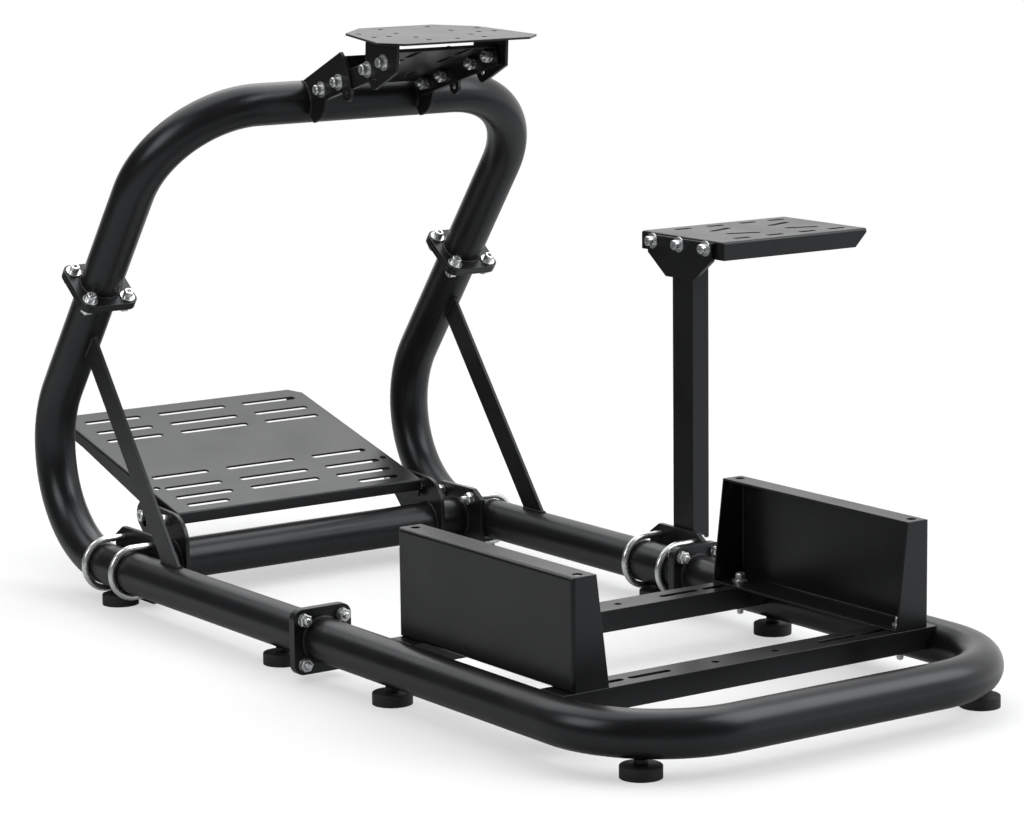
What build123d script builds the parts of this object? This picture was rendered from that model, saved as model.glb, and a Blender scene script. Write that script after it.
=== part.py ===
"""Racing wheel stand: a bent-tube floor frame with a leaning hoop that carries a wheel
plate, a tilting pedal plate, two seat brackets and a side post with a shifter tray.

Millimetres. +X is the driver's right, +Y is forward to the pedals, +Z is up.
The origin is on the floor, under the middle of the whole stand.
"""
import os
from math import atan2, cos, degrees, hypot, radians, sin, tan

from build123d import *

# Round tube
tube_radius = 25.0
tube_wall = 1.5
bend_radius = 127.0
weld_gap = 0.2

# Base frame
track = 525.0
foot_height = 19.0
rear_length = 572.0
floor_run = 488.0

# Uprights and hoop
lean = 37.0
stub_length = 170.0
hoop_rise = 278.0

# Square flanges that bolt the tubes together
flange_side = 74.0
flange_thickness = 5.0
flange_corner = 12.0
flange_pitch = 50.0
bolt_hole_radius = 4.5

# Flat-bar braces from the floor run to the uprights
brace_width = 31.5
brace_thickness = 4.0
brace_pitch = 52.9
brace_foot = 326.5

# Angle rails under the seat
rail_width = 40.0
rail_height = 24.5
rail_thickness = 3.0
rail_top = 22.0
rail_rear = 133.0
rail_pitch = 276.0
rail_hole_offset = 40.0
rail_slot_offsets = (126.0, 187.0)
rail_slot_length = 54.0
slot_width = 9.0

# Seat brackets
bracket_length = 318.0
bracket_height = 119.5
bracket_top_width = 30.0
bracket_foot_width = 45.0
bracket_sheet = 2.0
bracket_bend = 4.0
bracket_hole_radius = 5.5
bracket_hole_inset = 12.0
bracket_inset = 25.0

# Pedal carriage
carriage_forward = 458.0
pedal_ahead = 2.0
clamp_length = 108.0
clamp_height = 84.0
clamp_thickness = 6.0
clamp_chamfer = (18.0, 12.0)
clamp_gap = 0.1
u_bolt_radius = 4.0
u_bolt_gap = 0.3
u_bolt_half_width = 30.0
u_bolt_pitch = 66.0
u_bolt_tail = 16.0
ear_gap = 5.0
ear_thickness = 5.0
ear_round = 34.0
ear_round_rise = 24.0
ear_tube_rim = 9.0
ear_nose = 18.0

# Pedal plate, measured along its slope from its rear edge
pedal_width = 358.0
pedal_length = 309.0
pedal_slope = 14.8
pedal_rear_rise = 55.7
pedal_lip = 15.0
pedal_sheet = 2.5
pedal_corner = 13.0
pedal_bend = 3.0
outer_slot_length = 81.0
outer_slot_offset = 117.0
middle_slot_length = 100.0
slot_rows = (282.0, 249.5, 222.0, 104.0, 70.0, 42.5)
short_slot_length = 60.0
short_slot_offset = 125.0
short_slot_row = 19.0
edge_hole_inset = 12.0
edge_hole_row = 74.5
pivot_along = 10.0
pivot_drop = 11.5
lock_along = 62.0
lock_drop = 28.0
tongue_depth = 40.0
tongue_margin = 12.0
tongue_heel = 24.0
tongue_front = 245.0
tilt_range = 10.0
pivot_radius = 5.0
lock_radius = 4.0
pin_gap = 0.06
side_gap = 0.3
bolt_head_radius = 7.5
bolt_head_height = 6.0
lock_slot_gap = 0.7

# Shifter mount on the right floor run
shifter_forward = 68.5
post_behind = 4.5
post_width = 24.0
post_depth = 38.5
post_wall = 2.0
post_top = 373.0
gusset_thickness = 5.0
gusset_width = 123.0
gusset_foot = 53.0
gusset_shoulder = 24.0
gusset_overlap = 26.0
gusset_bolt_pitch = 51.0
gusset_bolt_drop = 9.5
tray_length = 219.0
tray_width = 159.0
tray_depth = 22.0
tray_gap = 1.0
tray_sheet = 2.5
tray_bend = 3.0
tray_edge = 5.0
tray_slot_length = 26.0
tray_slot_columns = (45.0, 95.0, 145.0, 190.0)
tray_slot_row = 57.0
tray_inner_slot_length = 44.0
tray_inner_slot_column = 120.0
tray_inner_slot_row = 22.0
tray_inner_slot_turn = 20.0

# Wheel mount on the hoop's crossbar
mount_half_width = 73.0
mount_sheet = 4.0
arm_angle = 16.0
arm_start = 30.0
arm_length = 175.0
arm_top = 14.7
arm_depth = 24.2
arm_bolt_height = 3.5
arm_bend = 4.0
arm_slot_rows = (72.0, 150.0, 188.0)
arm_slot_offset = 34.0
arm_slot_length = 30.0
saddle_bolts = (50.0, 90.0)
tab_bolts = (155.0, 191.0)
saddle_front_top = 20.6
saddle_peak = (103.5, 35.9)
saddle_bulge = (113.0, 4.0)
saddle_low = 9.6
saddle_leg = 30.0
saddle_tip = (20.7, 27.0)
saddle_web_top = 31.0
lug_along = 102.5
lug_drop = 13.0
lug_radius = 9.0
lug_hole_radius = 3.5
wheel_plate_tilt = 3.5
wheel_plate_back = 171.0
wheel_plate_rise = 84.2
wheel_plate_sheet = 2.5
wheel_plate_rear = (86.0, -69.0)
wheel_plate_hip = (109.5, -49.0)
wheel_plate_side = (92.0, 45.0)
wheel_plate_front = (51.0, 81.0)
wheel_hole_radius = 3.5
wheel_holes = ((82, 33), (83, -1), (62, 0), (33, 63), (38, 22), (38, -19), (38, -46), (0, -47))
tab_front = 26.0
tab_rear = 39.0
tab_depth = 63.0
tab_point = 9.0
tab_shoulder = 36.0
tab_round = 8.0
tab_hole = (6.5, 49.0)

# Levelling feet
foot_radius = 22.0
foot_disc = 13.0
foot_edge = 1.5
foot_stem_radius = 7.5
mid_foot_back = 143.5
front_foot_ahead = {"left": 82.0, "right": 75.0}

# Stations in the part's frame: the whole stand is centred on the origin
clamp_reach = tube_radius + clamp_gap + clamp_thickness
loop_reach = tube_radius + u_bolt_gap + u_bolt_radius
slope = radians(pedal_slope)
pedal_rear_station = rear_length + carriage_forward + pedal_ahead
front_reach = pedal_rear_station + pedal_length * cos(slope) + pedal_lip * sin(slope)
left_reach = track / 2 + flange_side / 2
right_reach = track / 2 + clamp_reach + tray_length
centre_x = (left_reach - right_reach) / 2
rear_y = (tube_radius - front_reach) / 2
axis_z = foot_height + tube_radius
left_x = centre_x - track / 2
right_x = centre_x + track / 2
joint_y = rear_y + rear_length
carriage_y = joint_y + carriage_forward
clamp_y = joint_y + shifter_forward
shifter_y = clamp_y - post_behind

# Uprights: the corner where the floor run's line meets the leaning line
lean_up = Vector(0, -sin(radians(lean)), cos(radians(lean)))
lean_out = Vector(0, cos(radians(lean)), sin(radians(lean)))
bend_setback = bend_radius * tan(radians(90 + lean) / 2)
upright_corner = Vector(centre_x, joint_y + floor_run + bend_setback, axis_z)
upright_joint = upright_corner + lean_up * (bend_setback + stub_length)
crossbar = upright_joint + lean_up * hoop_rise
half_track = Vector(track / 2, 0, 0)

hands = {"left": -1, "right": 1}
pieces = {}


def bent_tube(*corners):
    """A round tube along straight runs with the shop's one bend radius at each corner."""
    with BuildPart() as tube:
        with BuildLine() as path:
            FilletPolyline(*corners, radius=bend_radius)
        with BuildSketch(Plane(origin=path.line @ 0, z_dir=path.line % 0)):
            Circle(tube_radius)
            Circle(tube_radius - tube_wall, mode=Mode.SUBTRACT)
        sweep()
    return tube


def flange_pair(plane):
    """Two square flanges, one on each side of the stand, standing on a joint's plane."""
    with BuildPart() as flanges:
        with BuildSketch(plane):
            with Locations((-track / 2, 0), (track / 2, 0)):
                RectangleRounded(flange_side, flange_side, flange_corner)
                with GridLocations(flange_pitch, flange_pitch, 2, 2):
                    Circle(bolt_hole_radius, mode=Mode.SUBTRACT)
        extrude(amount=flange_thickness)
    return flanges


# Rear U of the base frame
pieces["rear_u_tube"] = bent_tube(
    (left_x, joint_y - flange_thickness, axis_z),
    (left_x, rear_y, axis_z),
    (right_x, rear_y, axis_z),
    (right_x, joint_y - flange_thickness, axis_z),
)
floor_joint = Plane(origin=(centre_x, joint_y, axis_z), x_dir=(1, 0, 0), z_dir=(0, 1, 0))
pieces["floor_flanges_rear"] = flange_pair(floor_joint.offset(-flange_thickness))
pieces["floor_flanges_front"] = flange_pair(floor_joint)

# Side tubes: floor run, front bend and leaning stub
for hand, side in hands.items():
    pieces[f"side_tube_{hand}"] = bent_tube(
        Vector(centre_x, joint_y + flange_thickness, axis_z) + half_track * side,
        upright_corner + half_track * side,
        upright_joint - lean_up * flange_thickness + half_track * side,
    )

# Hoop with its crossbar, bolted on top of the uprights
hoop_joint = Plane(origin=upright_joint, x_dir=(1, 0, 0), z_dir=lean_up)
pieces["upright_flanges_lower"] = flange_pair(hoop_joint.offset(-flange_thickness))
pieces["upright_flanges_upper"] = flange_pair(hoop_joint)
pieces["hoop_tube"] = bent_tube(
    upright_joint + lean_up * flange_thickness - half_track,
    crossbar - half_track,
    crossbar + half_track,
    upright_joint + lean_up * flange_thickness + half_track,
)

# Flat-bar braces: each edge runs from the top of the floor tube to the back of the upright
brace_run = Vector(0, cos(radians(brace_pitch)), sin(radians(brace_pitch)))
upright_back = upright_corner - lean_out * (tube_radius + weld_gap)
brace_floor = axis_z + tube_radius + weld_gap
brace_rear = Vector(centre_x, rear_y + rear_length + brace_foot - brace_width / 2, brace_floor)
brace_front = brace_rear + Vector(0, brace_width / sin(radians(brace_pitch)), 0)
brace_ends = []
for foot in (brace_rear, brace_front):
    climb = (upright_back - foot).dot(lean_out) / brace_run.dot(lean_out)
    brace_ends.append(foot + brace_run * climb)
for hand, side in hands.items():
    with BuildPart() as brace:
        with BuildSketch(Plane.YZ.offset(centre_x + side * track / 2)):
            with BuildLine():
                corners = (brace_rear, brace_front, brace_ends[1], brace_ends[0])
                Polyline([(corner.Y, corner.Z) for corner in corners], close=True)
            make_face()
        extrude(amount=brace_thickness / 2, both=True)
    pieces[f"brace_{hand}"] = brace

# Angle rails, coped to the side tubes, with slots and holes for the seat brackets
for name, rail_y in (("rear", rear_y + rail_rear), ("front", rear_y + rail_rear + rail_pitch)):
    with BuildPart() as rail:
        with BuildSketch(Plane.YZ.offset(left_x)):
            with Locations((rail_y, axis_z + rail_top)):
                Rectangle(rail_width, rail_thickness, align=(Align.MIN, Align.MAX))
                Rectangle(rail_thickness, rail_height, align=(Align.MIN, Align.MAX))
        extrude(amount=track)
        with BuildSketch(Plane.XY.offset(axis_z + rail_top)):
            for side in hands.values():
                with Locations((centre_x + side * rail_hole_offset, rail_y + rail_width / 2)):
                    Circle(bolt_hole_radius)
                for slot_offset in rail_slot_offsets:
                    with Locations((centre_x + side * slot_offset, rail_y + rail_width / 2)):
                        SlotOverall(rail_slot_length, slot_width)
        extrude(amount=-rail_thickness, mode=Mode.SUBTRACT)
        with BuildSketch(Plane.XZ.offset(-rail_y)):
            with Locations((left_x, axis_z), (right_x, axis_z)):
                Circle(tube_radius + weld_gap)
        extrude(amount=-rail_width, mode=Mode.SUBTRACT)
    pieces[f"seat_rail_{name}"] = rail

# Seat brackets: folded sheet, closed outside, top, bottom and ends, open to the middle
bracket_z = axis_z + rail_top
bracket_y = rear_y + rail_rear
for hand, side in hands.items():
    web_x = centre_x + side * (track / 2 - bracket_inset)
    with BuildPart() as bracket:
        with BuildSketch(Plane.XZ.offset(-bracket_y)):
            with BuildLine():
                Polyline(
                    (web_x, bracket_z),
                    (web_x - side * bracket_foot_width, bracket_z),
                    (web_x - side * bracket_top_width, bracket_z + bracket_height),
                    (web_x, bracket_z + bracket_height),
                    close=True,
                )
            make_face()
        extrude(amount=-bracket_length)
        web = faces().filter_by(Axis.X).sort_by(Axis.X)[0 if side < 0 else -1]
        fillet(web.edges(), radius=bracket_bend)
        mouth = faces().filter_by(GeomType.PLANE).sort_by(Axis.X)[-1 if side < 0 else 0]
        offset(amount=-bracket_sheet, openings=mouth)
        with BuildSketch(Plane.XY.offset(bracket_z + bracket_height)):
            with Locations((web_x - side * bracket_top_width / 2, bracket_y + bracket_length / 2)):
                with GridLocations(0, bracket_length - 2 * bracket_hole_inset, 1, 2):
                    Circle(bracket_hole_radius)
        extrude(amount=-bracket_sheet, mode=Mode.SUBTRACT)
        with BuildSketch(Plane.XY.offset(bracket_z)):
            bolt_x = web_x - side * bracket_foot_width / 2
            with Locations((bolt_x, bracket_y + rail_width / 2)):
                Circle(bolt_hole_radius)
            with Locations((bolt_x, bracket_y + rail_pitch + rail_width / 2)):
                Circle(bolt_hole_radius)
        extrude(amount=bracket_sheet, mode=Mode.SUBTRACT)
    pieces[f"seat_bracket_{hand}"] = bracket


def clamp_plate(x, y, outward):
    """A chamfered plate against a side tube, drilled for two U-bolts."""
    with BuildPart() as clamp:
        with BuildSketch(Plane.YZ.offset(x)):
            with Locations((y, axis_z)):
                Rectangle(clamp_length, clamp_height - 2 * clamp_chamfer[1])
                Rectangle(clamp_length - 2 * clamp_chamfer[0], clamp_height)
            make_hull()
            with Locations((y, axis_z)):
                with GridLocations(u_bolt_pitch, 2 * u_bolt_half_width, 2, 2):
                    Circle(bolt_hole_radius, mode=Mode.SUBTRACT)
        extrude(amount=outward * clamp_thickness)
    return clamp


def u_bolts(x, y, outward):
    """Two U-bolts around a side tube, their legs pointing to the clamp plate."""
    tail_x = x + outward * (clamp_reach + u_bolt_tail)
    loop_x = x + outward * (u_bolt_half_width - loop_reach)
    upper_z = axis_z + u_bolt_half_width
    lower_z = axis_z - u_bolt_half_width
    with BuildPart() as bolts:
        for bolt_y in (y - u_bolt_pitch / 2, y + u_bolt_pitch / 2):
            with BuildLine() as path:
                upper = Line((tail_x, bolt_y, upper_z), (loop_x, bolt_y, upper_z))
                crown = (x - outward * loop_reach, bolt_y, axis_z)
                loop = ThreePointArc(upper @ 1, crown, (loop_x, bolt_y, lower_z))
                Line(loop @ 1, (tail_x, bolt_y, lower_z))
            with BuildSketch(Plane(origin=path.line @ 0, z_dir=path.line % 0)):
                Circle(u_bolt_radius)
            sweep()
    return bolts


# Pedal carriage: cross tube between two clamp plates that grip the side tubes from inside
for hand, side in hands.items():
    tube_x = centre_x + side * track / 2
    pieces[f"pedal_clamp_{hand}"] = clamp_plate(tube_x - side * (tube_radius + clamp_gap), carriage_y, -side)
    pieces[f"pedal_u_bolts_{hand}"] = u_bolts(tube_x, carriage_y, -side)
with BuildPart() as cross_tube:
    with BuildSketch(Plane.YZ.offset(left_x + clamp_reach)):
        with Locations((carriage_y, axis_z)):
            Circle(tube_radius)
            Circle(tube_radius - tube_wall, mode=Mode.SUBTRACT)
    extrude(amount=track - 2 * clamp_reach)
pieces["pedal_cross_tube"] = cross_tube

# Pedal plate's own frame: x across, y up the slope, z off the plate
slope_run = Vector(0, cos(slope), sin(slope))
slope_up = Vector(0, -sin(slope), cos(slope))
pedal_rear = Vector(centre_x, rear_y + pedal_rear_station, axis_z + pedal_rear_rise)
pedal_plane = Plane(origin=pedal_rear, x_dir=(1, 0, 0), z_dir=slope_up)
pivot = pedal_rear + slope_run * pivot_along - slope_up * pivot_drop
lock = pedal_rear + slope_run * lock_along - slope_up * lock_drop
lock_reach = hypot(lock.Y - pivot.Y, lock.Z - pivot.Z)
lock_bearing = degrees(atan2(lock.Z - pivot.Z, lock.Y - pivot.Y))
lip_x = pedal_width / 2
ear_x = lip_x + ear_gap

with BuildPart() as pedal_plate:
    with BuildSketch(pedal_plane):
        Rectangle(pedal_width, pedal_length, align=(Align.CENTER, Align.MIN))
        chamfer(vertices().group_by(Axis.Y)[-1], pedal_corner)
    extrude(amount=-pedal_lip)
    off_plate = Axis(pedal_rear, slope_up)
    up_slope = Axis(pedal_rear, slope_run)
    fillet(faces().sort_by(off_plate)[-1].edges().sort_by(up_slope)[:-1], radius=pedal_bend)
    pedal_mouths = [faces().sort_by(off_plate)[0], faces().sort_by(up_slope)[-1]]
    offset(amount=-pedal_sheet, openings=pedal_mouths)
    for side in hands.values():
        tongue_plane = Plane(
            origin=pedal_rear + Vector(side * lip_x, 0, 0), x_dir=slope_run, z_dir=(1, 0, 0)
        )
        with BuildSketch(tongue_plane):
            with BuildLine():
                Polyline(
                    (0, -pedal_sheet),
                    (0, -pivot_drop - tongue_margin),
                    (lock_along - tongue_margin, -tongue_depth),
                    (lock_along + tongue_margin, -tongue_depth),
                    (lock_along + 2 * tongue_margin, -tongue_heel),
                    (tongue_front, -pedal_lip),
                    (tongue_front, -pedal_sheet),
                    close=True,
                )
            make_face()
        extrude(amount=-side * pedal_sheet)
        with BuildSketch(tongue_plane):
            with Locations((pivot_along, -pivot_drop)):
                Circle(pivot_radius + pin_gap)
            with Locations((lock_along, -lock_drop)):
                Circle(lock_radius + pin_gap)
        extrude(amount=-side * pedal_sheet, mode=Mode.SUBTRACT)
    with BuildSketch(pedal_plane):
        for row in slot_rows:
            with Locations((0, row)):
                SlotOverall(middle_slot_length, slot_width)
            with Locations((-outer_slot_offset, row), (outer_slot_offset, row)):
                SlotOverall(outer_slot_length, slot_width)
        with Locations((-short_slot_offset, short_slot_row), (short_slot_offset, short_slot_row)):
            SlotOverall(short_slot_length, slot_width)
        with Locations((edge_hole_inset - lip_x, edge_hole_row), (lip_x - edge_hole_inset, edge_hole_row)):
            Circle(bolt_hole_radius)
    extrude(amount=-pedal_sheet, mode=Mode.SUBTRACT)
pieces["pedal_plate"] = pedal_plate

# Ears on the cross tube: round at the back, with a curved slot for the lock bolt
lock_arc = CenterArc((pivot.Y, pivot.Z), lock_reach, lock_bearing - tilt_range, 2 * tilt_range)
for hand, side in hands.items():
    with BuildPart() as ear:
        with BuildSketch(Plane.YZ.offset(centre_x + side * ear_x)):
            with Locations((carriage_y, axis_z)):
                Circle(tube_radius + ear_tube_rim)
            with Locations((carriage_y, axis_z + ear_round_rise)):
                Circle(ear_round)
            with Locations((lock.Y, lock.Z)):
                Circle(ear_nose)
            make_hull()
            with Locations((carriage_y, axis_z)):
                Circle(tube_radius + weld_gap, mode=Mode.SUBTRACT)
            with Locations((pivot.Y, pivot.Z)):
                Circle(pivot_radius + pin_gap, mode=Mode.SUBTRACT)
            SlotArc(lock_arc, 2 * (lock_radius + lock_slot_gap), mode=Mode.SUBTRACT)
        extrude(amount=side * ear_thickness)
    pieces[f"pedal_ear_{hand}"] = ear


def stepped_pins(centre, steps):
    """Two mirrored turned bolts along X: each step is (from, to, radius) off the mid-plane."""
    with BuildPart() as pins:
        for side in hands.values():
            for start, end, radius in steps:
                with BuildSketch(Plane.YZ.offset(centre_x + side * start)):
                    with Locations((centre.Y, centre.Z)):
                        Circle(radius)
                extrude(amount=side * (end - start))
    return pins


# Pivot bolts sit in the ears; lock bolts ride with the plate through the ears' slots
lip_inner = lip_x - pedal_sheet
ear_outer = ear_x + ear_thickness
pieces["pedal_pivot_bolts"] = stepped_pins(pivot, (
    (lip_inner - side_gap - bolt_head_height, lip_inner - side_gap, bolt_head_radius),
    (lip_inner - side_gap, ear_outer, pivot_radius),
    (lip_x + side_gap, ear_x, bolt_head_radius),
    (ear_outer, ear_outer + bolt_head_height, bolt_head_radius),
))
pieces["pedal_lock_bolts"] = stepped_pins(lock, (
    (lip_inner - bolt_head_height, lip_inner, bolt_head_radius),
    (lip_inner, ear_outer + side_gap, lock_radius),
    (lip_x, ear_x - side_gap, bolt_head_radius),
    (ear_outer + side_gap, ear_outer + side_gap + bolt_head_height, bolt_head_radius),
))

# Shifter mount: clamp plate outside the right tube, post, gusset and tray
post_x = right_x + clamp_reach
pieces["shifter_clamp"] = clamp_plate(right_x + tube_radius + clamp_gap, clamp_y, 1)
pieces["shifter_u_bolts"] = u_bolts(right_x, clamp_y, 1)
with BuildPart() as post:
    with BuildSketch(Plane.XY.offset(axis_z - clamp_height / 2)):
        with Locations((post_x + post_width / 2, shifter_y)):
            Rectangle(post_width, post_depth)
            Rectangle(post_width - 2 * post_wall, post_depth - 2 * post_wall, mode=Mode.SUBTRACT)
    extrude(amount=post_top + clamp_height / 2)
pieces["shifter_post"] = post

tray_z = axis_z + post_top + tray_gap + tray_depth
gusset_bolts = [(shifter_y + step * gusset_bolt_pitch, tray_z - gusset_bolt_drop) for step in (-1, 0, 1)]
with BuildPart() as gusset:
    with BuildSketch(Plane.YZ.offset(post_x)):
        with BuildLine():
            Polyline(
                (shifter_y - gusset_width / 2, tray_z - tray_sheet),
                (shifter_y - gusset_width / 2, tray_z - gusset_shoulder),
                (shifter_y - gusset_foot / 2, tray_z - gusset_shoulder - gusset_overlap),
                (shifter_y + gusset_foot / 2, tray_z - gusset_shoulder - gusset_overlap),
                (shifter_y + gusset_width / 2, tray_z - gusset_shoulder),
                (shifter_y + gusset_width / 2, tray_z - tray_sheet),
                close=True,
            )
        make_face()
        with Locations(*gusset_bolts):
            Circle(bolt_hole_radius, mode=Mode.SUBTRACT)
    extrude(amount=-gusset_thickness)
pieces["shifter_gusset"] = gusset

with BuildPart() as tray:
    with BuildSketch(Plane.XY.offset(tray_z)):
        with Locations((post_x, shifter_y)):
            Rectangle(tray_length, tray_width, align=(Align.MIN, Align.CENTER))
    extrude(amount=-tray_depth)
    fillet(faces().sort_by(Axis.Z)[-1].edges().sort_by(Axis.X)[:-1], radius=tray_bend)
    mouths = [faces().sort_by(Axis.Z)[0], faces().sort_by(Axis.X)[-1]]
    offset(amount=-tray_sheet, openings=mouths)
    with BuildSketch(Plane.XZ.offset(-shifter_y)):
        with BuildLine():
            Polyline(
                (post_x + tray_length, tray_z - tray_edge),
                (post_x + tray_length, tray_z - tray_depth),
                (post_x + tray_length - tray_depth + tray_edge, tray_z - tray_depth),
                close=True,
            )
        make_face()
    extrude(amount=tray_width, both=True, mode=Mode.SUBTRACT)
    with BuildSketch(Plane.YZ.offset(post_x)):
        with Locations(*gusset_bolts):
            Circle(bolt_hole_radius)
    extrude(amount=tray_sheet, mode=Mode.SUBTRACT)
    with BuildSketch(Plane.XY.offset(tray_z)):
        for column in tray_slot_columns:
            with Locations((post_x + column, shifter_y)):
                with GridLocations(0, 2 * tray_slot_row, 1, 2):
                    SlotOverall(tray_slot_length, slot_width)
        for turn in (-1, 1):
            inner_y = shifter_y + turn * tray_inner_slot_row
            with Locations(
                (post_x + tray_inner_slot_column - tray_slot_columns[0], inner_y),
                (post_x + tray_inner_slot_column + tray_slot_columns[0], inner_y),
            ):
                SlotOverall(tray_inner_slot_length, slot_width, rotation=turn * tray_inner_slot_turn)
    extrude(amount=-tray_sheet, mode=Mode.SUBTRACT)
pieces["shifter_tray"] = tray

# Wheel mount's own frame on the crossbar: u back and up along the arm, v off it
arm_run = Vector(0, -cos(radians(arm_angle)), sin(radians(arm_angle)))
arm_up = Vector(0, sin(radians(arm_angle)), cos(radians(arm_angle)))
arm_section = Plane(origin=crossbar, x_dir=(1, 0, 0), z_dir=arm_run)
arm_web = Plane(origin=crossbar + arm_up * arm_top, x_dir=-arm_run, z_dir=arm_up)
arm_side = Plane(origin=crossbar, x_dir=arm_run, z_dir=(-1, 0, 0))
arm_holes = [(along, arm_bolt_height) for along in saddle_bolts + tab_bolts]

for hand, side in hands.items():
    with BuildPart() as saddle:
        with BuildSketch(arm_side.offset(-side * mount_half_width)):
            with BuildLine():
                front = Polyline((saddle_tip[0], -saddle_leg), (0, saddle_front_top), saddle_peak)
                rear = ThreePointArc(front @ 1, saddle_bulge, (lug_along + lug_radius, -lug_drop))
                under = Polyline(
                    rear @ 1,
                    (lug_along - lug_radius, -lug_drop),
                    (lug_along - lug_radius, -saddle_low),
                    (tube_radius + saddle_leg, -saddle_low),
                )
                leg = RadiusArc(under @ 1, (saddle_tip[1], -saddle_leg), saddle_leg)
                Line(leg @ 1, front @ 0)
            make_face()
            with Locations((lug_along, -lug_drop)):
                Circle(lug_radius)
                Circle(lug_hole_radius, mode=Mode.SUBTRACT)
            Circle(tube_radius + weld_gap, mode=Mode.SUBTRACT)
            with Locations(*arm_holes[:2]):
                Circle(bolt_hole_radius, mode=Mode.SUBTRACT)
        extrude(amount=-side * mount_sheet)
    pieces[f"wheel_saddle_{hand}"] = saddle

with BuildPart() as saddle_web:
    with BuildSketch(arm_section.offset(saddle_peak[0] - mount_sheet)):
        with Locations((0, saddle_web_top)):
            Rectangle(2 * mount_half_width, saddle_web_top - arm_top, align=(Align.CENTER, Align.MAX))
    extrude(amount=mount_sheet)
pieces["wheel_saddle_web"] = saddle_web

with BuildPart() as arm:
    with BuildSketch(arm_section.offset(arm_start)):
        with Locations((0, arm_top)):
            Rectangle(2 * mount_half_width, arm_depth, align=(Align.CENTER, Align.MAX))
        with Locations((0, arm_top - mount_sheet)):
            Rectangle(
                2 * (mount_half_width - mount_sheet), arm_depth, align=(Align.CENTER, Align.MAX),
                mode=Mode.SUBTRACT,
            )
    extrude(amount=arm_length)
    off_arm = Axis(crossbar, arm_up)
    fillet(faces().sort_by(off_arm)[-1].edges().filter_by(Axis(crossbar, arm_run)), radius=arm_bend)
    with BuildSketch(arm_web):
        for row in arm_slot_rows:
            with Locations((-row, -arm_slot_offset), (-row, arm_slot_offset)):
                SlotOverall(arm_slot_length, slot_width)
    extrude(amount=-mount_sheet, mode=Mode.SUBTRACT)
    with BuildSketch(arm_side.offset(-mount_half_width)):
        with Locations(*arm_holes):
            Circle(bolt_hole_radius)
    extrude(amount=2 * mount_half_width, mode=Mode.SUBTRACT)
pieces["wheel_arm"] = arm

plate_tilt = radians(wheel_plate_tilt)
plate_origin = crossbar + Vector(0, -wheel_plate_back, wheel_plate_rise)
plate_up = Vector(0, -sin(plate_tilt), cos(plate_tilt))
plate_run = Vector(0, cos(plate_tilt), sin(plate_tilt))
wheel_plane = Plane(origin=plate_origin, x_dir=(1, 0, 0), z_dir=plate_up)
with BuildPart() as wheel_plate:
    with BuildSketch(wheel_plane):
        with BuildLine():
            Polyline((0, wheel_plate_rear[1]), wheel_plate_rear, wheel_plate_hip, wheel_plate_side)
            Polyline(wheel_plate_side, wheel_plate_front, (0, wheel_plate_front[1]))
            mirror(about=Plane.YZ)
        make_face()
    extrude(amount=-wheel_plate_sheet)
    for side in hands.values():
        tab_x = side * mount_half_width
        tab_plane = Plane(origin=plate_origin + Vector(tab_x, 0, 0), x_dir=plate_run, z_dir=(1, 0, 0))
        with BuildSketch(tab_plane):
            with BuildLine():
                Polyline(
                    (tab_front, -wheel_plate_sheet / 2),
                    (tab_front, -tab_shoulder - tab_point),
                    (tab_point, -tab_depth),
                    (-tab_rear, -tab_shoulder),
                    (-tab_rear, -wheel_plate_sheet / 2),
                    close=True,
                )
            make_face()
            fillet(vertices().sort_by(Axis.Y)[0], radius=tab_round)
            with Locations((tab_hole[0], -tab_hole[1])):
                Circle(lug_hole_radius, mode=Mode.SUBTRACT)
        extrude(amount=side * mount_sheet)
    with BuildSketch(wheel_plane):
        for across, along in wheel_holes:
            with Locations((-across, along), (across, along)):
                Circle(wheel_hole_radius)
    extrude(amount=-wheel_plate_sheet, mode=Mode.SUBTRACT)
    with BuildSketch(arm_side.offset(-mount_half_width - mount_sheet)):
        with Locations(*arm_holes[2:]):
            Circle(bolt_hole_radius)
    extrude(amount=2 * (mount_half_width + mount_sheet), mode=Mode.SUBTRACT)
pieces["wheel_plate"] = wheel_plate

# Levelling feet: two under the rear corners and three along each side
corner_inset = bend_radius * (1 - cos(radians(45)))
foot_points = []
for hand, side in hands.items():
    foot_points.append((centre_x + side * (track / 2 - corner_inset), rear_y + corner_inset))
    for foot_y in (joint_y - mid_foot_back, joint_y + front_foot_ahead[hand], carriage_y):
        foot_points.append((centre_x + side * track / 2, foot_y))
with BuildPart() as feet:
    with Locations(*foot_points):
        Cylinder(foot_radius, foot_disc, align=(Align.CENTER, Align.CENTER, Align.MIN))
    fillet(edges().group_by(Axis.Z)[-1], radius=foot_edge)
pieces["levelling_feet"] = feet
with BuildPart() as stems:
    with Locations(*[(x, y, foot_disc) for x, y in foot_points]):
        Cylinder(foot_stem_radius, foot_height - foot_disc, align=(Align.CENTER, Align.CENTER, Align.MIN))
pieces["foot_stems"] = stems

os.makedirs("parts", exist_ok=True)
for name, piece in pieces.items():
    piece.part.label = name
    export_step(piece.part, f"parts/{name}.step")
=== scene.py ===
"""Racing wheel stand: finishes, fasteners, weld beads and a studio stage round its solids.

Metres, in the solids' own frame: +X is the driver's right, +Y is forward to the pedals, +Z is up.
"""
from math import cos, radians, sin, tau

import bpy
from bpy.props import FloatProperty, FloatVectorProperty, IntProperty, PointerProperty
from mathutils import Matrix, Vector


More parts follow.
